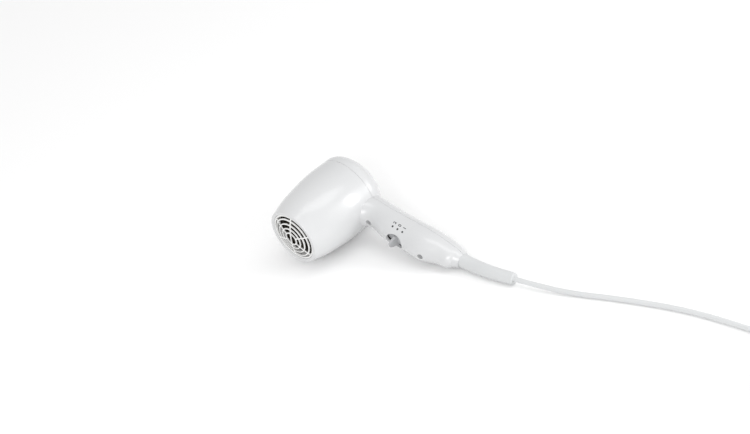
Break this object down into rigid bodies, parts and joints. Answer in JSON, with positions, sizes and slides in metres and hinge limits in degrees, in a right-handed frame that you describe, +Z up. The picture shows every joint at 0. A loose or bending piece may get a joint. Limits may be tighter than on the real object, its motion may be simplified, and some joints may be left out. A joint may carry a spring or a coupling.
{
  "type": "hair dryer",
  "caption": "Hand-held hair dryer lying on its side: round barrel with a ringed outlet grille, straight handle with a slide switch, corded.",
  "frame": {"origin": "centre of the base of the handset's bounding box, on the surface that it lies on", "axes": "+Z up, +X along the barrel's axis toward the air outlet, +Y toward the handle's end and the lead"},
  "size_m": [0.1426, 0.7186, 0.0787],
  "materials": {
    "casing": "moulded, glossy",
    "grille": "moulded, glossy",
    "knob": "moulded, fine matt",
    "sleeve": "soft moulded vinyl",
    "cord": "soft vinyl jacket",
    "plug": "moulded vinyl",
    "pin": "nickel plated brass",
    "steel": "zinc plated",
    "mesh": "woven wire",
    "mica": "pressed mica, pearly",
    "nichrome": "oxidised wire",
    "duct": "glass filled nylon",
    "fan": "glass filled nylon",
    "magnet": "ferrite",
    "armature": "laminations and enamelled copper",
    "bronze": "sintered bronze",
    "board": "paper laminate",
    "diode": "epoxy",
    "capacitor": "epoxy box",
    "switch": "phenolic",
    "brass": "stamped",
    "clamp": "nylon",
    "live": "brown vinyl",
    "neutral": "blue vinyl"
  },
  "bodies": {
    "handset": {"front_housing": "casing", "rear_housing": "casing", "outlet_grille": "grille", "intake_screen": "mesh", "fan_duct": "duct", "motor_can": "steel", "motor_magnets": "magnet", "motor_bushes": "bronze", "motor_end_cap": "duct", "motor_board": "board", "rectifier_diodes": "diode", "mica_board_a": "mica", "mica_board_b": "mica", "heating_coils": "nichrome", "mica_liner": "mica", "thermostat": "steel", "thermal_fuse": "steel", "switch_body": "switch", "switch_terminals": "brass", "switch_screws": "steel", "housing_screws": "steel", "suppression_capacitor": "capacitor", "cord_clamp": "clamp", "clamp_screws": "steel", "live_wires": "live", "neutral_wires": "neutral", "cable_sleeve": "sleeve", "supply_lead": "cord", "power_cord": "cord", "cord_coil": "cord", "cord_tail": "cord", "coil_tie": "clamp", "plug_relief": "plug", "plug_body": "plug", "plug_pins": "pin"},
    "fan": {"fan_impeller": "fan", "motor_shaft": "steel", "motor_armature": "armature"},
    "switch": {"switch_knob": "knob", "switch_carriage": "switch"}
  },
  "joints": [
    {"name": "fan_spin", "type": "hinge", "parent": "handset", "child": "fan", "pos_m": [-0.0258, -0.0879, 0.0393], "axis": [1, 0, 0], "continuous": true},
    {"name": "switch_slide", "type": "slide", "parent": "handset", "child": "switch", "axis": [0.0628, 0.9787, -0.1956], "range_m": [-0.0045, 0.0045]}
  ]
}
